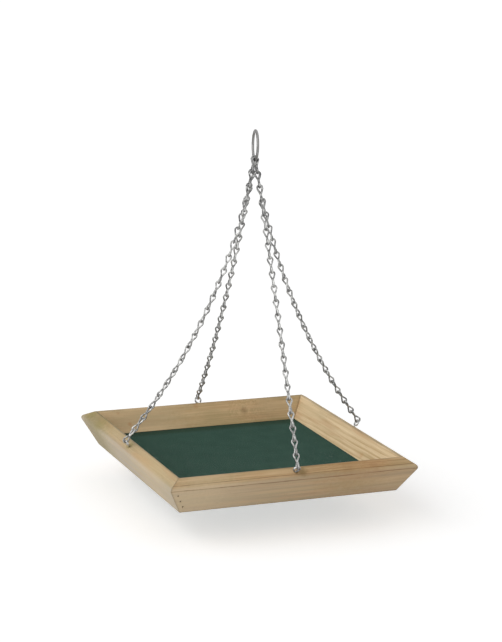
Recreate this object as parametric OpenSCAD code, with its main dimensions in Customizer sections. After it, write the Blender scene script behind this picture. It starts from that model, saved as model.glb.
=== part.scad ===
// Hanging bird table: a square softwood tray with a mesh floor, hung from one
// steel ring by four chains.
// The origin is where a hook bears on the inside of the ring. +Z is up, the
// front of the tray faces -Y, and all sizes are in millimetres.

/* [Tray] */

// Width of the tray across its top outer edges
tray_w = 300; // [270:5:330]

// Width of each board, measured along its sloping outer face
board_w = 37; // [34:0.5:42]

// Thickness of each board
board_t = 18.5; // [17:0.5:21]

// Outward slope of the boards, degrees from upright
board_lean = 30; // [26:1:32]

// Radius of the rounded outer top edge of each board
edge_round = 4; // [2:0.5:6]

// Radius that takes the sharpness off the lower outer edge
edge_ease = 0.8; // [0.4:0.2:1.2]

// Radius of the rounding along the top inner edge of each board
inner_round = 2.5; // [1:0.5:4]

// Open joint between two boards where their mitres meet
mitre_gap = 0.2; // [0.1:0.1:0.5]

/* [Floor] */

// Depth of the mesh below the top outer edges
mesh_drop = 17; // [15:0.5:19]

// Thickness of the woven mesh
mesh_t = 0.7; // [0.5:0.1:1]

// Openings across the mesh, which stand in for its fine weave
mesh_openings = 12; // [4:1:12]

// Width of the bars between the openings
mesh_bar = 5.5; // [3:0.5:8]

// Width of the battens that hold the mesh up from below
batten_w = 8; // [7:0.5:9]

// Height of the battens
batten_h = 10; // [8:0.5:11]

/* [Nails and pins] */

// Shank diameter of the brads through the corners
brad_d = 1.3; // [1:0.1:1.6]

// Length of the brads through the corners
brad_len = 25; // [20:1:30]

// Number of brads at each corner
brads_per_corner = 3; // [2:1:3]

// Number of pins through each batten
pins_per_batten = 4; // [3:1:6]
// Distance of the end pins from the ends of a batten
pin_inset = 18; // [12:1:30]

/* [Screw eyes] */

// Outside diameter of the eye
eye_od = 9.3; // [8.8:0.1:10.5]

// Wire diameter of the screw eye
eye_wire = 2.1; // [1.8:0.1:2.4]

// Neck left standing out of the wood below the eye
eye_neck = 0.5; // [0.5:0.5:3]

// Length of the shank in the wood
shank_len = 16; // [12:1:18]

/* [Chains] */

// Number of links in each of the four chains
links_per_leg = 22; // [18:1:26]

// Distance from one link's bearing to the next
pitch = 16.1; // [15.5:0.1:18]

// Wire diameter of the links
link_wire = 2; // [1.7:0.1:2.1]

// Outside width of each loop of a link
loop_w = 8; // [7.8:0.1:9]

// How much longer each chain is than its straight run, per cent
slack = 1; // [0.5:0.05:1.4]

/* [Ring] */

// Inside diameter of the hanging ring
ring_in = 30; // [28:1:40]

// Wire diameter of the hanging ring
ring_wire = 3; // [2.6:0.1:3.1]

// Turn of the ring about the upright axis, degrees
ring_turn = 14; // [0:1:14]

/* [Hidden] */

$fn = 48;

// Clearance between two metal pieces that bear on each other
gap = 0.2;

// Clearance around a nail, pin or screw in the wood
fit = 0.05;

// Clearance between pieces that lie flat on each other
lay = 0.05;

wood = [0.80, 0.68, 0.49];
batten_wood = [0.74, 0.60, 0.42];
mesh_green = [0.16, 0.27, 0.22];
zinc = [0.66, 0.67, 0.68];
bright_steel = [0.78, 0.78, 0.79];
brad_steel = [0.45, 0.44, 0.42];

// Directions in the upright section of a board: x is outward, y is up.
face_dir = [sin(board_lean), cos(board_lean)];
edge_dir = [-cos(board_lean), sin(board_lean)];

// Corners of that section. The top outer edge lies at height zero.
outer_top = [tray_w / 2, 0];
outer_foot = outer_top - board_w * face_dir;
inner_top = outer_top + board_t * edge_dir;
foot = outer_foot[1];
lip = [inner_top[0] - (inner_top[1] + mesh_drop) * tan(board_lean), -mesh_drop];

// Rebate under the lip, which takes the mesh and its battens
rebate_x = lip[0] + batten_w - 0.5;

// Half-width of the part of the mesh that is open
open_half = lip[0] - 2;

// Screw eyes stand square on the middle of the boards' top edges.
eye_foot = (outer_top + inner_top) / 2;
eye_r = (eye_od - eye_wire) / 2;
eye_top = eye_foot + (eye_neck + eye_od / 2 + eye_r) * face_dir;

// Brads: distance in from the corner, and depth of their punched heads
brad_in = 6.5;
brad_sink = 1.6;
brad_head_d = brad_d + 0.6;
brad_heights = [for (i = [1 : brads_per_corner]) foot * i / (brads_per_corner + 1)];

// Pins: their slope follows the boards, so that they end inside the wood.
pin_d = 1.2;
pin_head_d = 2.4;
pin_head_t = 0.6;
pin_len = 22;
pin_x = rebate_x - batten_w * 0.62;
batten_foot = -mesh_drop - lay - mesh_t - lay - batten_h;

// Chain links: two teardrop loops at right angles to each other
loop_r = (loop_w - link_wire) / 2;
half_link = (pitch + link_wire + gap) / 2;
loop_z = half_link - loop_r;
waist_x = link_wire / 2 + 0.08;
waist_z = 1;
cut_z = 1.35;
strand_lean = atan2(loop_z - waist_z, waist_x)
    - acos(loop_r / norm([waist_x, loop_z - waist_z]));

// Ring
ring_r = (ring_in + ring_wire) / 2;
ring_z = -ring_in / 2;
ring_along = [-sin(ring_turn), -cos(ring_turn), 0];

// Bearings of the end links, measured from the wires that they hang on
ring_seat = (ring_wire + gap) / 2;
eye_seat = (eye_wire + gap) / 2;

// Lengths between the bearings of one chain, from the ring's wire to the eye's
steps = [
    for (k = [0 : links_per_leg - 1])
        k == 0 ? pitch - ring_seat : k == links_per_leg - 1 ? pitch - eye_seat : pitch
];
ones = [for (k = steps) 1];
chain_reach = (steps * ones) * (1 - slack / 100);

// Height of the tray's top outer edges, set by the chains
eye_top_z = ring_z - ring_r - sqrt(chain_reach * chain_reach - eye_top[0] * eye_top[0]);
tray_z = eye_top_z - eye_top[1];

// Turn of each side of the tray about the upright axis
front = -90;
right = 0;
back = 90;
left = 180;

// Places of the end links along the ring's wire
outer_place = 2.85 * link_wire;
inner_place = 0.7 * link_wire;
places = [[front, outer_place], [right, -inner_place], [back, -outer_place], [left, inner_place]];

// Sideways sway of each slack chain about the line between its ends, degrees
sways = [[front, 27], [right, -12], [back, 16], [left, 21]];

// One chain hangs in a curve whose links turn by the same small angle each.
function sweep(turn) = [
    for (axis = [0, 1])
        [for (k = [0 : links_per_leg - 1])
            steps[k] * (axis == 0 ? sin(k * turn) : cos(k * turn))] * ones
];

// Turn from link to link at which the curve spans the given straight reach
function link_turn(reach, low = 0, high = 8, tries = 40) =
    tries == 0 ? (low + high) / 2
    : norm(sweep((low + high) / 2)) > reach
        ? link_turn(reach, (low + high) / 2, high, tries - 1)
        : link_turn(reach, low, (low + high) / 2, tries - 1);

// Bearing points of a chain in its upright plane, for the slopes of its links
function bearings(slopes) = [
    for (k = 0, p = [0, 0];
        k <= links_per_leg;
        p = k < links_per_leg ? p + steps[k] * [sin(slopes[k]), -cos(slopes[k])] : p,
        k = k + 1)
        p
];

// Arc that rounds one corner of a section
function rounded_corner(before, corner, after, r, parts = 6) =
    let (
        u = (before - corner) / norm(before - corner),
        v = (after - corner) / norm(after - corner),
        half = acos(u * v) / 2,
        centre = corner + (u + v) / norm(u + v) * r / sin(half),
        a = corner + u * r / tan(half) - centre,
        b = corner + v * r / tan(half) - centre
    )
    [for (i = [0 : parts])
        let (w = i / parts * (180 - 2 * half))
        centre + (sin(180 - 2 * half - w) * a + sin(w) * b) / sin(180 - 2 * half)];

// Section of a board: outward is x, and the rebate opens downward.
function board_section() =
    let (
        rebate_foot = [rebate_x, foot],
        rebate_top = [rebate_x, -mesh_drop]
    )
    concat(
        rounded_corner(inner_top, outer_top, outer_foot, edge_round),
        rounded_corner(outer_top, outer_foot, rebate_foot, edge_ease, 3),
        [rebate_foot, rebate_top, lip],
        rounded_corner(lip, inner_top, outer_top, inner_round)
    );

// Places an upright section, drawn with x outward, along one side of the tray.
module along_side(side, length) {
    rotate([0, 0, side])
        rotate([90, 0, 0])
            linear_extrude(length, center = true)
                children();
}

module brad_axis(side, height) {
    reach = tray_w / 2 + height * tan(board_lean);
    rotate([0, 0, side])
        translate([reach, brad_in - reach, height])
            rotate([0, -90, 0])
                children();
}

// Each board is nailed at one end, into the end of the board beside it.
module all_brads(side) {
    for (height = brad_heights)
        brad_axis(side, height)
            children();
}

module brad_hole() {
    translate([0, 0, -3])
        cylinder(h = 3 + brad_sink + 0.8, d = brad_head_d + 2 * fit);
    cylinder(h = brad_sink + brad_len + 0.8, d = brad_d + 2 * fit);
}

module brad() {
    translate([0, 0, brad_sink])
        cylinder(h = 0.7, d = brad_head_d);
    translate([0, 0, brad_sink])
        cylinder(h = brad_len - 2, d = brad_d);
    translate([0, 0, brad_sink + brad_len - 2])
        cylinder(h = 2, d1 = brad_d, d2 = 0.4);
}

// Pins run up from the underside of the battens, along the slope of the boards.
module pin_axis(side, length, i) {
    rotate([0, 0, side])
        translate([pin_x, length * (i / (pins_per_batten - 1) - 0.5), batten_foot])
            rotate([0, board_lean, 0])
                children();
}

module all_pins(side, length) {
    for (i = [0 : pins_per_batten - 1])
        pin_axis(side, length, i)
            children();
}

module pin_hole() {
    translate([0, 0, -3])
        cylinder(h = pin_len + 3.6, d = pin_d + 2 * fit);
    translate([0, 0, -6])
        cylinder(h = 6 + pin_head_t + 0.9, d = pin_head_d + 2 * fit);
}

module pin() {
    translate([0, 0, 0.8])
        cylinder(h = pin_head_t, d = pin_head_d);
    translate([0, 0, 0.8])
        cylinder(h = pin_len - 2.6, d = pin_d);
    translate([0, 0, pin_len - 1.8])
        cylinder(h = 1.8, d1 = pin_d, d2 = 0.4);
}

// Front and back battens run full length; the side ones fit between them.
long_batten = 2 * rebate_x - 0.6;
short_batten = 2 * (rebate_x - batten_w) - 1.2;
long_pin_row = long_batten - 2 * pin_inset;
short_pin_row = short_batten - 2 * pin_inset;

function pin_row(side) = side == front || side == back ? long_pin_row : short_pin_row;

module eye_axis(side) {
    rotate([0, 0, side])
        translate([eye_foot[0], 0, eye_foot[1]])
            rotate([0, board_lean, 0])
                children();
}

module rail(side) {
    color(wood)
        translate([0, 0, tray_z])
            difference() {
                intersection() {
                    along_side(side, tray_w + 20)
                        polygon(board_section());
                    rotate([0, 0, side])
                        translate([0, 0, -board_w])
                            linear_extrude(2 * board_w)
                                polygon([
                                    [mitre_gap * 0.71, 0],
                                    [tray_w + mitre_gap * 0.71, -tray_w],
                                    [tray_w + mitre_gap * 0.71, tray_w]
                                ]);
                }
                eye_axis(side)
                    translate([0, 0, -shank_len - 1])
                        cylinder(h = shank_len + 3, d = eye_wire + 2 * fit);
                all_brads(side)
                    brad_hole();
                all_brads(side + 90)
                    brad_hole();
                all_pins(side, pin_row(side))
                    pin_hole();
            }
}

module mesh_sheet() {
    half = rebate_x - 0.6;
    color(mesh_green)
        translate([0, 0, tray_z - mesh_drop - lay - mesh_t])
            difference() {
                linear_extrude(mesh_t)
                    difference() {
                        square(2 * half, center = true);
                        mesh_grid();
                    }
                for (side = [front, right, back, left])
                    translate([0, 0, mesh_drop + lay + mesh_t])
                        all_pins(side, pin_row(side))
                            translate([0, 0, -3])
                                cylinder(h = pin_len + 3, d = pin_d + 0.4);
            }
}

// Openings of the mesh, inside the edge that the battens hold.
module mesh_grid() {
    step = (2 * open_half + mesh_bar) / mesh_openings;
    for (column = [1 : mesh_openings], row = [1 : mesh_openings])
        translate(step * [column - mesh_openings / 2 - 0.5, row - mesh_openings / 2 - 0.5])
            square(step - mesh_bar, center = true);
}

module batten(side, length) {
    inner = rebate_x - 0.3 - batten_w;
    color(batten_wood)
        translate([0, 0, tray_z])
            difference() {
                along_side(side, length)
                    translate([inner, batten_foot])
                        square([batten_w, batten_h]);
                all_pins(side, pin_row(side))
                    pin_hole();
            }
}

module screw_eye(side) {
    color(zinc)
        translate([0, 0, tray_z])
            eye_axis(side) {
                translate([0, 0, eye_neck + eye_od / 2])
                    rotate([90, 0, 90])
                        rotate([0, 0, -90])
                            rotate_extrude(angle = 318)
                                translate([eye_r, 0])
                                    circle(d = eye_wire);
                translate([0, 0, -shank_len + 3])
                    cylinder(h = shank_len - 3 + eye_neck + eye_wire / 2, d = eye_wire);
                translate([0, 0, -shank_len])
                    cylinder(h = 3, d1 = 0.5, d2 = eye_wire);
            }
}

// Strand of wire from one point to another, run on a little past both. It is a
// hair thinner than the arcs, so that its ends lie inside them.
module strand(from, to, past_from, past_to) {
    run = to - from;
    length = norm(run);
    translate(from)
        rotate([0, acos(run[2] / length), atan2(run[1], run[0])])
            translate([0, 0, -past_from])
                cylinder(h = length + past_from + past_to, d = link_wire - 0.06);
}

// One loop of a link, open side down, in the plane of x and z. Its strand at
// -x runs on into the other loop; the one at +x ends just above the waist.
module loop() {
    shoulder = [loop_r * cos(strand_lean), 0, loop_z - loop_r * sin(strand_lean)];
    foot_in = [waist_x, 0, waist_z];
    cut = shoulder + (foot_in - shoulder) * (shoulder[2] - cut_z) / (shoulder[2] - waist_z);
    translate([0, 0, loop_z])
        rotate([90, 0, 0])
            rotate([0, 0, -strand_lean])
                rotate_extrude(angle = 180 + 2 * strand_lean)
                    translate([loop_r, 0])
                        circle(d = link_wire);
    strand(shoulder, cut, 0.3, 0);
    strand([-shoulder[0], 0, shoulder[2]], [-waist_x, 0, waist_z], 0.3, 0.23);
}

module link() {
    rotate([0, 0, 90])
        loop();
    rotate([180, 0, 0])
        loop();
    strand([0, -waist_x, waist_z], [-waist_x, 0, -waist_z], 0.23, 0.23);
}

// Links from the first to the last of one chain, counted from the ring. The
// loops turn evenly from square on the ring's wire to square on the eye's.
module chain_part(side, first, last) {
    around = lookup(side, places) / ring_r * 180 / PI;
    sway = lookup(side, sways);
    top = [0, 0, ring_z]
        + ring_r * (sin(around) * ring_along - cos(around) * [0, 0, 1]);
    end = [eye_top[0] * cos(side), eye_top[0] * sin(side), eye_top_z];
    run = end - top;
    heading = atan2(run[1], run[0]);
    span = [norm([run[0], run[1]]), -run[2]];
    turn = link_turn(norm(span));
    total = sweep(turn);
    start = atan2(span[0], span[1]) - atan2(total[0], total[1]);
    slopes = [for (k = [0 : links_per_leg - 1]) start + k * turn];
    points = bearings(slopes);
    square_on = (ring_turn == 0 ? -90 : atan2(ring_along[1], ring_along[0])) - heading;
    first_roll = square_on - 180 * floor((square_on + 45) / 180);
    translate(top)
        rotate(sway, run)
            rotate([0, 0, heading])
                for (k = [first : last]) {
                    up = [-sin(slopes[k]), cos(slopes[k])];
                    middle = k == 0 ? points[1] + up * pitch / 2 : points[k] - up * pitch / 2;
                    translate([middle[0], 0, middle[1]])
                        rotate([0, -slopes[k], 0])
                            rotate([0, 0, sway + first_roll * (1 - k / (links_per_leg - 1))])
                                link();
                }
}

module chain_top_link(side) {
    color(zinc)
        chain_part(side, 0, 0);
}

module chain_run(side) {
    color(zinc)
        chain_part(side, 1, links_per_leg - 2);
}

module chain_bottom_link(side) {
    color(zinc)
        chain_part(side, links_per_leg - 1, links_per_leg - 1);
}

module front_rail() { rail(front); }
module back_rail() { rail(back); }
module left_rail() { rail(left); }
module right_rail() { rail(right); }

module mesh_floor() { mesh_sheet(); }

module front_batten() { batten(front, long_batten); }
module back_batten() { batten(back, long_batten); }
module left_batten() { batten(left, short_batten); }
module right_batten() { batten(right, short_batten); }

module corner_brads() {
    color(brad_steel)
        translate([0, 0, tray_z])
            for (side = [front, right, back, left])
                all_brads(side)
                    brad();
}

module batten_pins() {
    color(brad_steel)
        translate([0, 0, tray_z])
            for (side = [front, right, back, left])
                all_pins(side, pin_row(side))
                    pin();
}

module front_screw_eye() { screw_eye(front); }
module back_screw_eye() { screw_eye(back); }
module left_screw_eye() { screw_eye(left); }
module right_screw_eye() { screw_eye(right); }

module front_top_link() { chain_top_link(front); }
module back_top_link() { chain_top_link(back); }
module left_top_link() { chain_top_link(left); }
module right_top_link() { chain_top_link(right); }

module front_chain() { chain_run(front); }
module back_chain() { chain_run(back); }
module left_chain() { chain_run(left); }
module right_chain() { chain_run(right); }

module front_bottom_link() { chain_bottom_link(front); }
module back_bottom_link() { chain_bottom_link(back); }
module left_bottom_link() { chain_bottom_link(left); }
module right_bottom_link() { chain_bottom_link(right); }

module hanging_ring() {
    color(bright_steel)
        translate([0, 0, ring_z])
            rotate([0, 0, -ring_turn])
                rotate([0, 90, 0])
                    rotate_extrude()
                        translate([ring_r, 0])
                            circle(d = ring_wire);
}

front_rail();
back_rail();
left_rail();
right_rail();
mesh_floor();
front_batten();
back_batten();
left_batten();
right_batten();
corner_brads();
batten_pins();
front_screw_eye();
back_screw_eye();
left_screw_eye();
right_screw_eye();
front_top_link();
back_top_link();
left_top_link();
right_top_link();
front_chain();
back_chain();
left_chain();
right_chain();
front_bottom_link();
back_bottom_link();
left_bottom_link();
right_bottom_link();
hanging_ring();
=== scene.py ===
"""Looks of the hanging bird table: planed softwood, a woven mesh floor, plated chain.

Lengths are in metres in the frame of the CAD part, whose origin is on the inside
of the hanging ring, unless a name ends in _mm. The front of the tray faces -Y.
"""

from __future__ import annotations

import logging
import math
from dataclasses import dataclass, field
from enum import Enum
from typing import Union

import bpy
import numpy as np
from mathutils import Matrix, Vector


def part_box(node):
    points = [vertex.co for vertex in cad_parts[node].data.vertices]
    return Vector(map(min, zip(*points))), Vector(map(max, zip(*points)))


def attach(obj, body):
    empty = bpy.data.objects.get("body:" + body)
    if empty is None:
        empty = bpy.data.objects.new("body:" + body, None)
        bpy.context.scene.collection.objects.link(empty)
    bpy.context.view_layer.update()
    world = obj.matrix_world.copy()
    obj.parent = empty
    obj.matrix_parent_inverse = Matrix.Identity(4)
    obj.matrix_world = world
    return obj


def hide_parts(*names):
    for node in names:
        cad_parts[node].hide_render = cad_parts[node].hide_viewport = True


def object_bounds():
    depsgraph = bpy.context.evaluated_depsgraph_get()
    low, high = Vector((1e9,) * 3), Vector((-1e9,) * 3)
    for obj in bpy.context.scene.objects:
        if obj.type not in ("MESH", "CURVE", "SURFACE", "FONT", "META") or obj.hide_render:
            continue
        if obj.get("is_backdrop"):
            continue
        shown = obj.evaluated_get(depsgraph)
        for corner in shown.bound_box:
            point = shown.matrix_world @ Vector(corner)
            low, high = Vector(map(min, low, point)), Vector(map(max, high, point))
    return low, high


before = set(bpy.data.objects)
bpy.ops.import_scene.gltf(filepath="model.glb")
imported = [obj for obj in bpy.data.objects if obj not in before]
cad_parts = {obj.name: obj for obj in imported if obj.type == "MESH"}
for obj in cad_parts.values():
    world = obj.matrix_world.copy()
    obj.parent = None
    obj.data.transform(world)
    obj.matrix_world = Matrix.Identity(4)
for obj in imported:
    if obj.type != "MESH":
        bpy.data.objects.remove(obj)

LOG = logging.getLogger("bird_table")

MM = 0.001
MM_PER_M = 1000
BOARD_LEAN = math.radians(30)
BOARD_EDGE_MM = 150.0
MESH_TOP_BELOW_EDGE_MM = 17.05
MESH_WIRE_SECTION = np.array([(1.0, 0.0), (0.0, 1.0), (-1.0, 0.0), (0.0, -1.0)])
WHITE = (1, 1, 1)

Number = Union[float, "Wire"]
Colour = tuple[float, float, float]


def srgb(red: float, green: float, blue: float) -> Colour:
    """Linear colour of an sRGB triple that is given from 0 to 255."""

    def linear(part: float) -> float:
        """Linear value of one channel."""
        c = part / 255
        return c / 12.92 if c <= 0.04045 else ((c + 0.055) / 1.055) ** 2.4

    return linear(red), linear(green), linear(blue)


OLIVE_TINT = srgb(168, 152, 106)
ROSY_TINT = srgb(196, 148, 104)
AMBER_TINT = srgb(190, 134, 78)
# Pale cream painted as light on the outer face's end towards -X.
PAINTED_LIGHT_END = srgb(230, 210, 176)
RIM_DARKENING = srgb(112, 98, 76)
FLECK_BROWN = srgb(128, 96, 60)
LINE_BROWN = srgb(112, 76, 44)
MESH_SHADE = srgb(50, 66, 46)
PAPER_WHITE = srgb(249, 249, 249)


class Wire:
    """Output socket of a shader node, with arithmetic that adds Math nodes."""

    def __init__(self, graph: "Graph", socket: bpy.types.NodeSocket) -> None:
        """Wraps a socket of the given graph."""
        self.graph = graph
        self.socket = socket

    def math(self, operation: str, *others: Number, clamp: bool = False) -> "Wire":
        """Result of a Math node whose first value is this one."""
        return self.graph.math(operation, self, *others, clamp=clamp)

    def __add__(self, other: Number) -> "Wire":
        """Sum."""
        return self.math("ADD", other)

    def __radd__(self, other: Number) -> "Wire":
        """Sum with the number first."""
        return self.math("ADD", other)

    def __sub__(self, other: Number) -> "Wire":
        """Difference."""
        return self.math("SUBTRACT", other)

    def __rsub__(self, other: Number) -> "Wire":
        """Difference with the number first."""
        return self.graph.math("SUBTRACT", other, self)

    def __mul__(self, other: Number) -> "Wire":
        """Product."""
        return self.math("MULTIPLY", other)

    def __truediv__(self, other: Number) -> "Wire":
        """Quotient."""
        return self.math("DIVIDE", other)

    def sqrt(self) -> "Wire":
        """Square root."""
        return self.math("SQRT")

    def smooth(self, low: float, high: float) -> "Wire":
        """Smooth step from 0 at low to 1 at high; low may be the larger."""
        return self.graph.node(
            "ShaderNodeMapRange",
            {"Value": self, "From Min": low, "From Max": high},
            interpolation_type="SMOOTHSTEP",
        )


class Graph:
    """Node tree of one material, ending in a Principled BSDF."""

    def __init__(self, name: str) -> None:
        """Starts a material of that name."""
        self.material = bpy.data.materials.new(name)
        self.material.use_nodes = True
        self.tree = self.material.node_tree
        self.shader = self.tree.nodes["Principled BSDF"]

    @classmethod
    def over(cls, tree: bpy.types.NodeTree) -> "Graph":
        """Wraps the tree of something else, such as the world."""
        made = cls.__new__(cls)
        made.tree = tree
        return made

    def node(self, kind: str, inputs: dict, output: Union[str, int] = 0, **settings) -> Wire:
        """Adds a node of any kind.

        Args:
            kind: Node type, such as ShaderNodeTexNoise.
            inputs: Values or wires by the input's name or index.
            output: Name or index of the output that is returned.
            settings: Attributes of the node.

        Returns:
            The chosen output.
        """
        made = self.tree.nodes.new(kind)
        for key, value in settings.items():
            setattr(made, key, value)
        for key, value in inputs.items():
            self.feed(made.inputs[key], value)
        return Wire(self, made.outputs[output])

    def feed(self, socket: bpy.types.NodeSocket, value: object) -> None:
        """Links a wire to an input, or sets its constant value."""
        if isinstance(value, Wire):
            self.tree.links.new(value.socket, socket)
        elif socket.type == "RGBA" and len(value) == 3:
            socket.default_value = (*value, 1.0)
        else:
            socket.default_value = value

    def math(self, operation: str, *values: Number, clamp: bool = False) -> Wire:
        """Adds a Math node over the given values."""
        inputs = dict(enumerate(values))
        return self.node("ShaderNodeMath", inputs, operation=operation, use_clamp=clamp)

    def vector(self, x: Number, y: Number, z: Number) -> Wire:
        """Vector of three values."""
        return self.node("ShaderNodeCombineXYZ", {"X": x, "Y": y, "Z": z})

    def place(self) -> tuple[Wire, Wire, Wire]:
        """Place on the object in millimetres, as x, y and z."""
        at = self.node("ShaderNodeTexCoord", {}, "Object")
        parts = [self.node("ShaderNodeSeparateXYZ", {"Vector": at}, axis) for axis in "XYZ"]
        return tuple(part * MM_PER_M for part in parts)

    def noise(self, at: Wire, scale: float, detail: float = 2, rough: float = 0.5) -> Wire:
        """Noise between 0 and 1 at a place."""
        inputs = {"Vector": at, "Scale": scale, "Detail": detail, "Roughness": rough}
        return self.node("ShaderNodeTexNoise", inputs)

    def blend(self, share: Number, low: object, high: object) -> Wire:
        """Colour between low, at share 0, and high, at share 1."""
        made = self.tree.nodes.new("ShaderNodeMix")
        made.data_type = "RGBA"
        for index, value in ((0, share), (6, low), (7, high)):
            self.feed(made.inputs[index], value)
        return Wire(self, made.outputs[2])

    def bump(self, height: Wire, distance: float, strength: float = 1.0) -> None:
        """Lets a height in metres times distance tilt the surface."""
        made = self.node(
            "ShaderNodeBump", {"Height": height, "Distance": distance, "Strength": strength}
        )
        self.feed(self.shader.inputs["Normal"], made)

    def finish(self, **inputs: object) -> bpy.types.Material:
        """Sets or links inputs of the BSDF, whose blanks are written as underscores."""
        for name, value in inputs.items():
            self.feed(self.shader.inputs[name.replace("_", " ")], value)
        return self.material


class Side(Enum):
    """Sides of the tray, by the direction that they face."""

    FRONT = (0, -1)
    BACK = (0, 1)
    LEFT = (-1, 0)
    RIGHT = (1, 0)

    @property
    def label(self) -> str:
        """Word for the side in the nodes' names."""
        return self.name.lower()

    @property
    def seed(self) -> float:
        """Shift that gives each board its own grain."""
        return 10.0 + 17.3 * list(Side).index(self)

    def board_place(self, x: Wire, y: Wire, z: Wire, tray_z_mm: float) -> tuple[Wire, Wire, Wire]:
        """Place in the board of this side.

        Args:
            x: Place on the object, in mm, as y and z are.
            y: The same.
            z: The same.
            tray_z_mm: Height of the top outer edges.

        Returns:
            Distance along the board from its middle, down its outer face from the
            top outer edge, and into its thickness from that face.
        """
        facing = self.value
        out = (x * facing[0] if facing[0] else y * facing[1]) - BOARD_EDGE_MM
        up = z - tray_z_mm
        sine, cosine = math.sin(BOARD_LEAN), math.cos(BOARD_LEAN)
        along = y if facing[0] else x
        return along, (out * sine + up * cosine) * -1, up * sine - out * cosine


@dataclass(frozen=True)
class Mark:
    """Round spot in or on the wood, at a place in the frame of the part.

    Attributes:
        at_mm: Middle of the spot.
        size_mm: Radius at which the spot has faded.
        tint: Colour of the spot.
        strength: Share of that colour in the middle.
        swirl: How far the growth rings bend around it, in mm.
    """

    at_mm: tuple[float, float, float]
    size_mm: float
    tint: Colour
    strength: float = 0.6
    swirl: float = 0.0


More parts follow.
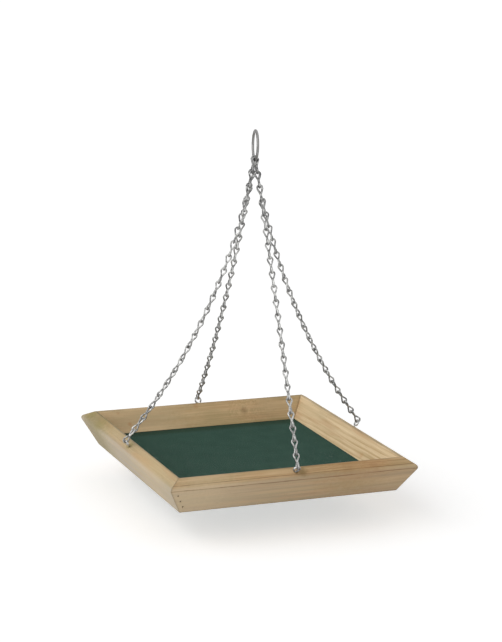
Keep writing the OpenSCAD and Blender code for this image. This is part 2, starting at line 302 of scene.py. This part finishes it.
@dataclass(frozen=True)
class Softwood:
    """Planed softwood, with growth rings that run along the board.

    Attributes:
        pale: Colour of the wide, soft part of a ring.
        dark: Colour of the narrow, hard part.
        weathered: Greyer colour that the outer face has.
        outer_share: Share of that colour on the outer face.
        heart: Place of the tree's heart in the section, across and into it, in mm.
        ring_mm: Width of one ring.
        slope: Drift of the heart along the board, in mm per mm.
        contrast: Share of the dark colour in the hard part of a ring.
        streak: Strength of the streaks along the grain.
        olive: Strength of the greenish patches.
        bleach: Share of painted light, a pale cream on the outer face, at the end towards -X or -Y.
        lines: Places of single dark lines on the outer face, or, where negative, on the top edge.
        marks: Knots and stains.
    """

    pale: Colour
    dark: Colour
    weathered: Colour
    outer_share: float
    heart: tuple[float, float]
    ring_mm: float = 4.0
    slope: float = 0.02
    contrast: float = 0.5
    streak: float = 1.0
    olive: float = 0.4
    bleach: float = 0.0
    lines: tuple[float, ...] = ()
    marks: tuple[Mark, ...] = ()

    def material(self, name: str, side: Side, tray_z_mm: float) -> bpy.types.Material:
        """Material of one board on the given side of the tray."""
        g = Graph(name)
        x, y, z = g.place()
        along, across, depth = side.board_place(x, y, z, tray_z_mm)
        grain = Grain(g, along, across, depth, side.seed)
        bent = self.bend(g, x, y, z)
        ring = self.rings(grain, bent)
        fibre = grain.noise(0.05, 2.2, 3, 0.65)
        streak = grain.noise(0.012, 0.75, 3, 0.6)
        band = grain.noise(0.006, 0.2, 2)
        share = ring * self.contrast + (fibre - 0.5) * 0.55
        share = share + ((streak - 0.5) * 1.1 + (band - 0.5) * 1.2) * self.streak
        colour = g.blend(share.math("ADD", 0.28, clamp=True), self.pale, self.dark)
        colour = self.tone(grain, colour)
        outer = depth.smooth(7.0, 1.0) * (band.smooth(0.3, 0.7) * 0.5 + 0.5)
        colour = g.blend(outer * self.outer_share, colour, self.weathered)
        # Painted light: the outer face gets a pale cream at its end towards -X or -Y.
        lit_end_mask = along.smooth(40.0, -140.0) * depth.smooth(4.0, 1.0)
        colour = g.blend(lit_end_mask * self.bleach, colour, PAINTED_LIGHT_END)
        colour = g.blend(self.rim(grain, x, y) * 0.55, colour, RIM_DARKENING)
        fleck = grain.noise(0.16, 2.4, 1, shift=31.0)
        colour = g.blend(fleck.smooth(0.68, 0.78) * 0.45, colour, FLECK_BROWN)
        line = self.grain_lines(grain)
        colour = g.blend(line * 0.7, colour, LINE_BROWN)
        for mark in self.marks:
            colour = g.blend(self.spot(g, mark, x, y, z) * mark.strength, colour, mark.tint)
        rough = 0.62 - ring * 0.1 + (fibre - 0.5) * 0.16
        g.bump(fibre * 0.7 + streak * 0.5 + ring * 0.5 - line * 0.9, 0.00022, 0.9)
        return g.finish(Base_Color=colour, Roughness=rough, Specular_IOR_Level=0.3)

    def rings(self, grain: "Grain", bent: Number) -> Wire:
        """Share of the hard part of a ring: it starts softly and ends sharply."""
        sway = (grain.noise(0.004, 0.02, 2) - 0.5) * 12
        u = grain.across - self.heart[0] - grain.along * self.slope + sway
        w = grain.depth - self.heart[1]
        reach = (u * u + w * w).sqrt() + bent
        turn = reach / self.ring_mm + grain.noise(0.008, 0.12, 2, shift=5.0) * 1.6
        part = turn.math("FRACT")
        strong = grain.noise(0.006, 0.1, 2, shift=11.0)
        return part.smooth(0.2, 0.85) * part.smooth(1.0, 0.9) * strong.smooth(0.25, 0.7)

    def tone(self, grain: "Grain", colour: Wire) -> Wire:
        """Adds the slow changes of hue along a board."""
        g = grain.graph
        green = grain.noise(0.011, 0.07, 2, shift=17.0).smooth(0.4, 0.66)
        colour = g.blend(green * self.olive, colour, OLIVE_TINT)
        warm = grain.noise(0.014, 0.09, 2, shift=23.0).smooth(0.5, 0.7)
        colour = g.blend(warm * 0.3, colour, ROSY_TINT)
        amber = grain.noise(0.03, 0.32, 2, shift=41.0).smooth(0.66, 0.78)
        return g.blend(amber * 0.4, colour, AMBER_TINT)

    def rim(self, grain: "Grain", x: Wire, y: Wire) -> Wire:
        """Share of darkening along the exposed arrises and the open mitres."""
        crest = grain.depth.smooth(15.2, 17.6) * grain.across.smooth(2.6, 0.9)
        foot = grain.depth.smooth(2.2, 0.4) * grain.across.smooth(34.6, 36.6)
        off = (x.math("ABSOLUTE") - y.math("ABSOLUTE")).math("ABSOLUTE")
        mitre = off.smooth(1.9, 0.5) * 0.55
        rough = grain.noise(0.05, 0.5, 2, shift=3.0).smooth(0.25, 0.6) * 0.5 + 0.5
        return crest.math("MAXIMUM", foot).math("MAXIMUM", mitre) * rough

    def spot(
        self, g: Graph, mark: Mark, x: Wire, y: Wire, z: Wire, wide: float = 1.0
    ) -> Wire:
        """Share of a mark at a place, from 1 in its middle to 0 outside."""
        rough = g.noise(g.vector(x, y, z), 0.25, 2) - 0.5
        dx, dy, dz = (part - middle for part, middle in zip((x, y, z), mark.at_mm))
        far = (dx * dx + dy * dy + dz * dz).sqrt() / (mark.size_mm * wide) + rough * 0.7
        return far.smooth(1.0, 0.15)

    def bend(self, g: Graph, x: Wire, y: Wire, z: Wire) -> Number:
        """Push of the growth rings away from the knots, in mm."""
        total: Number = 0.0
        for mark in self.marks:
            if mark.swirl:
                total = self.spot(g, mark, x, y, z, 3.2) * mark.swirl + total
        return total

    def grain_lines(self, grain: "Grain") -> Wire:
        """Share of the single dark lines near the top outer edge."""
        waver = (grain.noise(0.012, 0.0, 2, shift=3.0) - 0.5) * 2.2
        broken = grain.noise(0.03, 0.0, 3, shift=7.0)
        total = grain.along * 0
        for place in self.lines:
            at = grain.across if place > 0 else grain.depth
            off = (at - abs(place) + waver).math("ABSOLUTE")
            near = (
                grain.depth.smooth(5.0, 3.0) if place > 0 else grain.across.smooth(4.0, 2.0)
            )
            total = total + off.smooth(0.8, 0.1) * near
        return total * (broken.smooth(0.25, 0.6) * 0.7 + 0.3)


@dataclass(frozen=True)
class Grain:
    """Place in one board, and noise drawn out along its grain."""

    graph: Graph
    along: Wire
    across: Wire
    depth: Wire
    seed: float

    def noise(
        self, length: float, width: float, detail: float, rough: float = 0.5,
        shift: float = 0.0,
    ) -> Wire:
        """Noise whose spots are long along the board and narrow across it.

        Args:
            length: Spots per mm along the board.
            width: Spots per mm across it.
            detail: Number of finer layers.
            rough: Strength of the finer layers.
            shift: Offset that makes one noise differ from the next.

        Returns:
            Noise between 0 and 1.
        """
        start = self.seed + shift
        at = self.graph.vector(
            self.along * length + start, self.across * width + start, self.depth * width
        )
        return self.graph.noise(at, 1.0, detail, rough)


@dataclass(frozen=True)
class Plated:
    """Drawn steel wire under a thin bright plate.

    Attributes:
        tint: Colour of the bright plate.
        dull: Colour where it has gone dull, and on the ring the colour of the painted shade on its
            sides.
        rough: Roughness of the plate.
        across: Level direction from a middle line of painted sheen to the sides in painted shade,
            or none.
        half_mm: Distance from that line to the sides.
        top_dull: Share of darkening added on the links nearest the ring.
    """

    tint: Colour
    dull: Colour
    rough: float = 0.28
    across: tuple[float, float] = (0.0, 0.0)
    half_mm: float = 1.5
    top_dull: float = 0.0

    def material(self, name: str) -> bpy.types.Material:
        """Material of the plated wire."""
        g = Graph(name)
        x, y, z = g.place()
        at = g.vector(x, y, z)
        fine = g.noise(at, 1.1, 3, 0.6)
        cloud = g.noise(at, 0.28, 2)
        share = cloud.smooth(0.34, 0.66) * 0.8 + (fine - 0.5) * 0.6
        # The links nearest the ring are made darker.
        share = share + z.smooth(-150.0, -50.0) * self.top_dull
        # On the ring: a painted reflection, bright along the wire's middle line, with painted shade
        # on its sides.
        if any(self.across):
            off = (x * self.across[0] + y * self.across[1]).math("ABSOLUTE")
            share = off.smooth(self.half_mm * 0.2, self.half_mm) + (cloud - 0.5) * 1.2
        colour = g.blend(share.math("ADD", 0.0, clamp=True), self.tint, self.dull)
        g.bump(fine, 0.00006, 0.5)
        return g.finish(
            Base_Color=colour, Metallic=1.0, Roughness=self.rough + (fine - 0.5) * 0.18
        )


@dataclass(frozen=True)
class CoatedWire:
    """Dark green coat on the wires of the mesh, with painted shade along the back board.

    Attributes:
        tint: Colour of the coat.
        worn: Colour where it has worn paler.
    """

    tint: Colour
    worn: Colour

    def material(self, name: str) -> bpy.types.Material:
        """Material of the coated wires."""
        g = Graph(name)
        x, y, z = g.place()
        wide = g.noise(g.vector(x, y, z), 0.05, 3)
        fine = g.noise(g.vector(x, y, z), 1.4, 2)
        share = (wide - 0.5) * 0.9 + (fine - 0.5) * 0.6
        colour = g.blend(share.math("ADD", 0.45, clamp=True), self.tint, self.worn)
        # Painted shade: the mesh is darkened in a band along the back board.
        colour = g.blend(y.smooth(96.0, 114.0) * 0.6, colour, MESH_SHADE)
        g.bump(fine, 0.00005, 0.4)
        rough = 0.6 + (fine - 0.5) * 0.2
        return g.finish(Base_Color=colour, Roughness=rough, Specular_IOR_Level=0.12)


def mesh_object(name: str, points: np.ndarray, faces: np.ndarray, smooth: bool) -> bpy.types.Object:
    """Links a mesh object made of arrays.

    Args:
        name: Name of the object and its mesh.
        points: Corners, one row each.
        faces: Corner numbers of each face, one row each.
        smooth: Whether the faces shade smoothly.

    Returns:
        The linked object.
    """
    data = bpy.data.meshes.new(name)
    data.from_pydata(points.tolist(), [], faces.tolist())
    data.polygons.foreach_set("use_smooth", [smooth] * len(data.polygons))
    data.update()
    made = bpy.data.objects.new(name, data)
    bpy.context.scene.collection.objects.link(made)
    return made


def dress(made: bpy.types.Object, material: bpy.types.Material) -> None:
    """Gives an object one material."""
    made.data.materials.clear()
    made.data.materials.append(material)


@dataclass
class Boards:
    """The four splayed boards and the battens below them.

    Attributes:
        tray_z_mm: Height of the top outer edges.
        knot: Colour of a knot.
        resin: Colour of resin.
        green: Colour of algae.
        grime: Colour of the darker spots at the screw eyes' feet.
        shade: Colour of the painted shade at the dim far ends.
        warm: Colour of the front board's warm end.
        bleached: Colour of the paler parts towards the -X ends of the front and back boards.
        straw: Colour of the left board's paler near part.
    """

    tray_z_mm: float
    knot: Colour = field(default_factory=lambda: srgb(128, 88, 50))
    resin: Colour = field(default_factory=lambda: srgb(186, 120, 56))
    green: Colour = field(default_factory=lambda: srgb(146, 134, 62))
    grime: Colour = field(default_factory=lambda: srgb(122, 100, 50))
    shade: Colour = field(default_factory=lambda: srgb(132, 118, 92))
    warm: Colour = field(default_factory=lambda: srgb(170, 122, 66))
    bleached: Colour = field(default_factory=lambda: srgb(232, 208, 170))
    straw: Colour = field(default_factory=lambda: srgb(230, 204, 152))

    def finishes(self) -> dict[Side, Softwood]:
        """Finish of each board: each comes from its own part of a tree."""
        z = self.tray_z_mm
        return {
            Side.FRONT: Softwood(
                pale=srgb(214, 182, 138), dark=srgb(178, 142, 98),
                weathered=srgb(176, 162, 140), outer_share=0.5,
                heart=(18, 90), ring_mm=4.2, slope=0.015, contrast=0.42, streak=1.8,
                bleach=0.42, lines=(2.6, -6.0), marks=self.front_marks(z),
            ),
            Side.BACK: Softwood(
                pale=srgb(238, 206, 158), dark=srgb(200, 164, 114),
                weathered=srgb(170, 156, 132), outer_share=0.5,
                heart=(6, -34), ring_mm=5.0, slope=-0.03, contrast=0.55, streak=1.3, olive=0.5,
                marks=self.back_marks(z),
            ),
            Side.LEFT: Softwood(
                pale=srgb(204, 182, 142), dark=srgb(172, 148, 108),
                weathered=srgb(182, 172, 158), outer_share=0.75,
                heart=(26, 70), ring_mm=5.0, contrast=0.28, streak=0.9, olive=0.5,
                marks=self.left_marks(z),
            ),
            Side.RIGHT: Softwood(
                pale=srgb(238, 214, 174), dark=srgb(194, 162, 114),
                weathered=srgb(176, 162, 140), outer_share=0.5,
                heart=(-46, 30), ring_mm=5.4, slope=0.03, contrast=0.75,
                streak=0.7, olive=0.25, marks=self.right_marks(z),
            ),
        }

    def front_marks(self, z: float) -> tuple[Mark, ...]:
        """Dark spots at the front eye's foot, two faint knots, and a warm and a pale end."""
        return (
            Mark((8, -142, z + 4.6), 9, self.grime, 0.6),
            Mark((1, -142, z + 4.6), 3, self.grime, 0.9),
            Mark((64, -143, z + 4), 10, self.knot, 0.18, 7.0),
            Mark((96, -143, z + 4), 8, self.knot, 0.15, 5.0),
            Mark((70, -128, z + 22), 75, self.warm, 0.35),
            Mark((-110, -128, z + 22), 60, self.bleached, 0.35),
        )

    def back_marks(self, z: float) -> tuple[Mark, ...]:
        """Knot and resin spots on the inner face of the back board, painted shade towards +X and a
        paler part towards -X.
        """
        return (
            Mark((54, 126, z - 3), 7, self.knot, 0.45, 15.0),
            Mark((-95, 124, z - 8), 4, self.resin, 0.75),
            Mark((-108, 131, z + 5), 3, self.resin, 0.4),
            Mark((-8, 132, z + 6), 5, self.resin, 0.3),
            # Painted shade towards the +X end of the back board's inner face.
            Mark((100, 126, z - 6), 55, self.shade, 0.25),
            Mark((-80, 126, z - 6), 95, self.bleached, 0.35),
        )

    def left_marks(self, z: float) -> tuple[Mark, ...]:
        """Green and painted shade towards the far end of the left board, and green and a dark spot
        at its eye.
        """
        return (
            Mark((-139, 132, z + 2), 13, self.green, 0.65),
            # Painted shade at the far end of the left board's outer face.
            Mark((-138, 112, z - 16), 52, self.shade, 0.6),
            Mark((-142, 100, z - 16), 72, self.green, 0.3),
            Mark((-141, -70, z + 6), 80, self.straw, 0.2),
            Mark((-143, 96, z + 3), 16, self.green, 0.25),
            Mark((-141, 1, z + 5), 7, self.green, 0.5),
            Mark((-142, 0, z + 4.6), 2.4, self.grime, 0.8),
        )

    def right_marks(self, z: float) -> tuple[Mark, ...]:
        """Resin on the right board, by its far mitre and towards its near end."""
        return (
            Mark((128, 131, z - 3), 9, self.resin, 0.55),
            Mark((123, -60, z - 12), 6, self.resin, 0.25),
        )

    def dress(self) -> None:
        """Gives each board and batten its wood."""
        for side, finish in self.finishes().items():
            wood = finish.material(f"softwood_{side.label}", side, self.tray_z_mm)
            dress(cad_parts[f"{side.label}_rail"], wood)
            dress(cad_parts[f"{side.label}_batten"], wood)
            LOG.info("board and batten dressed: %s", side.label)


@dataclass
class WovenFloor:
    """Woven mesh of square-sided wires, each over and under the next.

    Attributes:
        half_mm: Half the width of the sheet.
        top_mm: Height of its upper face.
        wires: Number of wires each way.
        wire_mm: Thickness of a wire.
        rise_mm: Height by which a wire rises and falls at each crossing.
        finish: Coat on the wires.
    """

    half_mm: float
    top_mm: float
    wires: int = 170
    wire_mm: float = 0.54
    rise_mm: float = 0.12
    finish: CoatedWire = field(
        default_factory=lambda: CoatedWire(srgb(55, 85, 74), srgb(71, 102, 89))
    )

    def wire_tube(self, lane: int, along_x: bool) -> np.ndarray:
        """Corners of one wire, a ring of them at each crossing and at both ends."""
        step = 2 * self.half_mm / self.wires
        stations = np.arange(self.wires + 2)
        run = np.clip(-self.half_mm + (stations - 0.5) * step, -self.half_mm, self.half_mm)
        up = np.where((stations + lane + along_x) % 2 == 0, 1.0, -1.0) * self.rise_mm
        side = -self.half_mm + (lane + 0.5) * step
        middle = self.top_mm - self.rise_mm - self.wire_mm / 2
        ring = MESH_WIRE_SECTION * self.wire_mm / 2
        rows = np.empty((len(run), len(ring), 3))
        rows[:, :, 0 if along_x else 1] = run[:, None]
        rows[:, :, 1 if along_x else 0] = side + ring[None, :, 0]
        rows[:, :, 2] = middle + up[:, None] + ring[None, :, 1]
        return rows.reshape(-1, 3)

    def build(self) -> bpy.types.Object:
        """Weaves the mesh and puts it in place of the plain sheet."""
        rings, sides = self.wires + 2, len(MESH_WIRE_SECTION)
        this_ring = np.arange(rings - 1) * sides
        next_ring = this_ring + sides
        quads = []
        for near in range(sides):
            after = (near + 1) % sides
            corners = [this_ring + near, this_ring + after, next_ring + after, next_ring + near]
            quads.append(np.stack(corners, 1))
        tube = np.concatenate(quads)
        points, faces = [], []
        for along_x in (True, False):
            for lane in range(self.wires):
                flip = tube if along_x else tube[:, ::-1]
                faces.append(flip + len(points) * rings * sides)
                points.append(self.wire_tube(lane, along_x))
        made = mesh_object("woven_floor", np.concatenate(points) * MM, np.concatenate(faces), True)
        dress(made, self.finish.material("green_coat"))
        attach(made, "tray")
        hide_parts("mesh_floor")
        LOG.info("woven floor: %d wires each way", self.wires)
        return made


@dataclass(frozen=True)
class JackChain:
    """Places of the links of one chain, worked out from the sizes of the solids.

    Attributes:
        side: Side of the tray that the chain goes to.
        hung_at_mm: Place of its first link along the ring's wire.
        sway_deg: Swing of the slack chain about the line between its ends.
        links: Number of links.
        pitch_mm: Distance between the bearings of a link.
        ring_r_mm: Radius of the middle of the ring's wire.
        ring_z_mm: Height of the ring's middle.
        ring_turn_deg: Turn of the ring about the upright axis.
        eye_at_mm: Bearing in the screw eye, as distance from the middle and height.
        seats_mm: Length lost by the first and the last link in its seat.
        steepest_turn_deg: Largest turn from link to link that is tried.
        halvings: Number of times that the range of turns is halved.
    """

    side: Side
    hung_at_mm: float
    sway_deg: float
    links: int = 22
    pitch_mm: float = 16.1
    ring_r_mm: float = 16.5
    ring_z_mm: float = -15.0
    ring_turn_deg: float = 14.0
    eye_at_mm: tuple[float, float] = (146.364, -347.153)
    seats_mm: tuple[float, float] = (1.6, 1.15)
    steepest_turn_deg: float = 8
    halvings: int = 40

    def steps(self) -> np.ndarray:
        """Lengths between the bearings, from the ring to the eye."""
        steps = np.full(self.links, self.pitch_mm)
        steps[0] -= self.seats_mm[0]
        steps[-1] -= self.seats_mm[1]
        return steps

    def sweep(self, turn: float) -> np.ndarray:
        """Reach of a chain whose links turn by the same angle each, out and down."""
        angles = np.arange(self.links) * turn
        return np.array([self.steps() @ np.sin(angles), self.steps() @ np.cos(angles)])

    def ends(self) -> tuple[Vector, Vector]:
        """Bearing on the ring's wire and bearing on the screw eye."""
        turned, around = math.radians(self.ring_turn_deg), self.hung_at_mm / self.ring_r_mm
        wire = Vector((-math.sin(turned), -math.cos(turned), 0))
        top = Vector((0, 0, self.ring_z_mm))
        top += (wire * math.sin(around) - Vector((0, 0, math.cos(around)))) * self.ring_r_mm
        facing = self.side.value
        out, height = self.eye_at_mm
        return top, Vector((out * facing[0], out * facing[1], height))

    def slopes(self, span: Vector) -> np.ndarray:
        """Slope of each link from upright, for a straight run out and down."""
        low, high = 0.0, math.radians(self.steepest_turn_deg)
        for _ in range(self.halvings):
            turn = (low + high) / 2
            if np.linalg.norm(self.sweep(turn)) > span.length:
                low = turn
            else:
                high = turn
        total = self.sweep(turn)
        start = math.atan2(span.x, span.y) - math.atan2(total[0], total[1])
        return start + np.arange(self.links) * turn

    def places(self) -> list[Matrix]:
        """Transform of each link, in mm, whose own axis is Z."""
        top, end = self.ends()
        run = end - top
        heading = math.atan2(run.y, run.x)
        slopes = self.slopes(Vector((math.hypot(run.x, run.y), -run.z)))
        steps = self.steps()
        drops = np.stack([np.sin(slopes), -np.cos(slopes)], 1) * steps[:, None]
        points = np.concatenate([np.zeros((1, 2)), np.cumsum(drops, 0)])
        turned = math.radians(self.ring_turn_deg)
        square = math.degrees(math.atan2(-math.cos(turned), -math.sin(turned)) - heading)
        first_roll = square - 180 * math.floor((square + 45) / 180)
        hung = Matrix.Translation(top) @ Matrix.Rotation(math.radians(self.sway_deg), 4, run)
        hung = hung @ Matrix.Rotation(heading, 4, "Z")
        made = []
        for k, slope in enumerate(slopes):
            up = np.array([-math.sin(slope), math.cos(slope)]) * self.pitch_mm / 2
            x, z = points[1] + up if k == 0 else points[k] - up
            roll = self.sway_deg + first_roll * (1 - k / (self.links - 1))
            made.append(
                hung
                @ Matrix.Translation((x, 0, z))
                @ Matrix.Rotation(-slope, 4, "Y")
                @ Matrix.Rotation(math.radians(roll), 4, "Z")
            )
        return made


@dataclass(frozen=True)
class LinkTips:
    """Ends of a link's wire, which close each loop against the strand beside it.

    Attributes:
        radius_mm: Radius of a tip, a little less than the wire's.
        start_mm: Where it leaves the wire, across and along the link.
        end_mm: Where its rounded end begins.
        sides: Number of sides.
        blunt: Length of the rounded end, as a share of the radius.
        round_deg: Angles at which the rounded end has a ring of corners.
    """

    radius_mm: float = 0.985
    start_mm: tuple[float, float] = (1.46, 1.9)
    end_mm: tuple[float, float] = (0.74, 0.2)
    sides: int = 12
    blunt: float = 0.6
    round_deg: tuple[float, ...] = (25, 50, 72, 88)

    def tube(self) -> np.ndarray:
        """Corners of one tip in the plane of x and z, ring by ring."""
        start, end = np.array(self.start_mm), np.array(self.end_mm)
        ahead = (end - start) / np.linalg.norm(end - start)
        across = np.array([ahead[1], -ahead[0]])
        turn = np.linspace(0, 2 * np.pi, self.sides, endpoint=False)
        rings = [(start, 1.0), (end, 1.0)]
        for angle in self.round_deg:
            a = math.radians(angle)
            tip = end + ahead * self.radius_mm * self.blunt * math.sin(a)
            rings.append((tip, math.cos(a)))
        rows = []
        for middle, share in rings:
            r = self.radius_mm * share
            flat = middle + np.outer(np.cos(turn) * r, across)
            rows.append(np.stack([flat[:, 0], np.sin(turn) * r, flat[:, 1]], 1))
        return np.stack(rows)

    def build(self, name: str, places: list[Matrix]) -> bpy.types.Object:
        """Makes both tips of each link at the given places."""
        tube = self.tube()
        rings = len(tube)
        flat = tube.reshape(-1, 3)
        upper = np.stack([-flat[:, 1], flat[:, 0], flat[:, 2]], 1)
        lower = flat * np.array([1, -1, -1])
        first, near = np.arange(rings - 1)[:, None] * self.sides, np.arange(self.sides)
        base = first + near
        after = first + (near + 1) % self.sides
        skin = np.stack([base, after, after + self.sides, base + self.sides], -1).reshape(-1, 4)
        points, faces = [], []
        for place in places:
            turn = np.array(place.to_3x3())
            for tip in (upper, lower):
                faces.append(skin + len(points) * len(flat))
                points.append(tip @ turn.T + np.array(place.translation))
        return mesh_object(name, np.concatenate(points) * MM, np.concatenate(faces), True)


@dataclass
class Ironwork:
    """Ring, chains, screw eyes, brads and pins.

    Attributes:
        chains: Each chain, with its place on the ring and its swing.
    """

    chains: tuple[JackChain, ...] = (
        JackChain(Side.FRONT, 5.7, 27),
        JackChain(Side.BACK, -5.7, 16),
        JackChain(Side.LEFT, 1.4, 21),
        JackChain(Side.RIGHT, -1.4, -12),
    )

    def add_tips(self, zinc: bpy.types.Material) -> None:
        """Closes the loops of all links; the end links ride on the tray."""
        fixed = []
        for chain in self.chains:
            places = chain.places()
            fixed += [places[0], places[-1]]
            label = chain.side.label
            tips = LinkTips().build(f"{label}_link_tips", places[1:-1])
            self.hang(tips, f"{label}_leg", zinc)
        self.hang(LinkTips().build("end_link_tips", fixed), "tray", zinc)

    @staticmethod
    def hang(made: bpy.types.Object, body: str, zinc: bpy.types.Material) -> None:
        """Lets a plated piece ride on a body."""
        dress(made, zinc)
        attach(made, body)
        LOG.info("wire ends made: %s", made.name)

    def dress(self) -> None:
        """Gives each metal node its plate."""
        # The ring gets a painted reflection: a bright middle line and painted shade on the sides.
        turned = math.radians(self.chains[0].ring_turn_deg)
        across = (math.cos(turned), -math.sin(turned))
        bright = Plated(srgb(192, 192, 190), srgb(96, 96, 96), 0.34, top_dull=0.3)
        zinc = bright.material("zinc_plate")
        nickel = Plated(srgb(146, 145, 144), srgb(80, 79, 78), 0.3, across).material("ring_plate")
        steel = Plated(srgb(120, 112, 102), srgb(70, 62, 54), 0.5).material("brad_steel")
        self.add_tips(zinc)
        for name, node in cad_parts.items():
            if name == "hanging_ring":
                dress(node, nickel)
            elif name in ("corner_brads", "batten_pins"):
                dress(node, steel)
            elif name.endswith(("_chain", "_link", "_screw_eye")):
                dress(node, zinc)
            else:
                continue
            LOG.info("metal dressed: %s", name)


@dataclass
class Studio:
    """White floor and backdrop, soft light and the photograph's camera.

    The tray hangs clear of the floor, by as much as its lowest corner needs when
    it swings.

    Attributes:
        tray_z: Height of the top outer edges.
        foot_z: Height of the tray's underside.
        hang_clear: Distance from there down to the floor.
        floor_half: Half the width of the floor.
        sky: Strength of the sky, where it lights the object.
        sun: Strength of the sun.
        floor_glow: Light that the floor gives off, where the camera and the gloss see it.
        azimuth: Direction of the camera, in degrees, as elevation and roll are.
        elevation: Height of the camera above the level.
        distance: Distance from the tray to the camera.
        aside: Shift of the camera along the picture's width.
        above: Shift along its height.
        roll: Turn of the picture.
        lens_mm: Focal length.
        key_from: Direction that the sun shines from.
        key_spread_deg: Width of the sun.
        clip: Nearest and furthest distance that the camera sees.
    """

    tray_z: float
    foot_z: float
    hang_clear: float = 0.036
    floor_half: float = 12.0
    sky: float = 0.5
    sun: float = 1.7
    floor_glow: float = 0.36
    azimuth: float = -23.94
    elevation: float = 13.34
    distance: float = 2.31735
    aside: float = 0.00773
    above: float = 0.13813
    roll: float = 2.16
    lens_mm: float = 112.15
    key_from: tuple[float, float, float] = (-0.93, -0.05, 0.37)
    key_spread_deg: float = 90
    clip: tuple[float, float] = (0.05, 50)

    def build_floor(self) -> None:
        """Lays a wide white floor under the tray."""
        level = self.foot_z - self.hang_clear
        corners = [(-1, -1), (1, -1), (1, 1), (-1, 1)]
        points = np.array([(a * self.floor_half, b * self.floor_half, level) for a, b in corners])
        floor = mesh_object("floor", points, np.array([(0, 1, 2, 3)]), False)
        dress(floor, self.floor_material())
        floor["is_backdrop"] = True

    def floor_material(self) -> bpy.types.Material:
        """White paper, which the camera and the gloss see as plain white."""
        g = Graph("studio_floor")
        plain = g.finish(Base_Color=PAPER_WHITE, Roughness=0.9)
        lit = g.node("ShaderNodeEmission", {"Color": WHITE, "Strength": self.floor_glow})
        seen = self.seen_directly(g)
        end = g.tree.nodes["Material Output"].inputs["Surface"]
        bare = Wire(g, g.shader.outputs["BSDF"])
        both = g.node("ShaderNodeAddShader", {0: bare, 1: lit})
        g.feed(end, g.node("ShaderNodeMixShader", {0: seen, 1: bare, 2: both}))
        return plain

    @staticmethod
    def seen_directly(g: Graph) -> Wire:
        """Value of 1 for what the camera sees, also in gloss and through glass."""
        paths = g.tree.nodes.new("ShaderNodeLightPath")
        seen = Wire(g, paths.outputs["Is Camera Ray"])
        for kind in ("Is Glossy Ray", "Is Transmission Ray"):
            seen = seen.math("MAXIMUM", Wire(g, paths.outputs[kind]))
        return seen

    def build_world(self) -> None:
        """Even white sky, which the camera and the gloss see as plain white."""
        world = bpy.data.worlds.new("studio")
        world.use_nodes = True
        g = Graph.over(world.node_tree)
        seen = self.seen_directly(g)
        plain = g.node("ShaderNodeBackground", {"Color": WHITE, "Strength": self.sky})
        white = g.node("ShaderNodeBackground", {"Color": WHITE, "Strength": 1.0})
        mixed = g.node("ShaderNodeMixShader", {0: seen, 1: plain, 2: white})
        g.feed(g.tree.nodes["World Output"].inputs["Surface"], mixed)
        bpy.context.scene.world = world

    def add_sun(self) -> None:
        """Adds a wide, soft light from the left of the tray."""
        light = bpy.data.lights.new("key", "SUN")
        light.energy, light.angle = self.sun, math.radians(self.key_spread_deg)
        lamp = bpy.data.objects.new("key", light)
        lamp.rotation_mode = "QUATERNION"
        lamp.rotation_quaternion = Vector(self.key_from).to_track_quat("Z", "Y")
        bpy.context.scene.collection.objects.link(lamp)

    def build_camera(self) -> None:
        """Puts the camera where the photograph was taken from."""
        a, e, r = (math.radians(v) for v in (self.azimuth, self.elevation, self.roll))
        back = Vector((math.sin(a) * math.cos(e), -math.cos(a) * math.cos(e), math.sin(e)))
        right = (-back).cross(Vector((0, 0, 1))).normalized()
        up = right.cross(-back)
        right, up = (
            right * math.cos(r) + up * math.sin(r),
            up * math.cos(r) - right * math.sin(r),
        )
        place = Vector((0, 0, self.tray_z)) + right * self.aside + up * self.above
        place += back * self.distance
        data = bpy.data.cameras.new("camera")
        data.lens = self.lens_mm
        data.clip_start, data.clip_end = self.clip
        camera = bpy.data.objects.new("camera", data)
        turn = Matrix((right, up, back)).transposed()
        camera.matrix_world = Matrix.Translation(place) @ turn.to_4x4()
        bpy.context.scene.collection.objects.link(camera)
        bpy.context.scene.camera = camera

    def build(self) -> None:
        """Builds floor, light and camera."""
        self.build_floor()
        self.build_world()
        self.add_sun()
        self.build_camera()
        bpy.context.scene.view_settings.view_transform = "Standard"
        LOG.info("studio built")


def write_sizes(key: str, sizes: dict) -> None:
    """Keeps the size of the part, as it stands now, under a key."""
    low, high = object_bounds()
    sizes[key] = [list(low), list(high)]


def main() -> None:
    """Builds the looks piece by piece."""
    logging.basicConfig(level=logging.INFO, format="%(name)s: %(message)s")
    sizes: dict = {}
    write_sizes("loaded", sizes)
    sheet_low, sheet_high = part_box("mesh_floor")
    rail_low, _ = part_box("front_rail")
    tray_z = sheet_high[2] + MESH_TOP_BELOW_EDGE_MM * MM
    Boards(tray_z / MM).dress()
    WovenFloor(half_mm=sheet_high[0] / MM, top_mm=sheet_high[2] / MM).build()
    Ironwork().dress()
    Studio(tray_z=tray_z, foot_z=rail_low[2]).build()
    write_sizes("dressed", sizes)


if __name__ == "__main__":
    main()
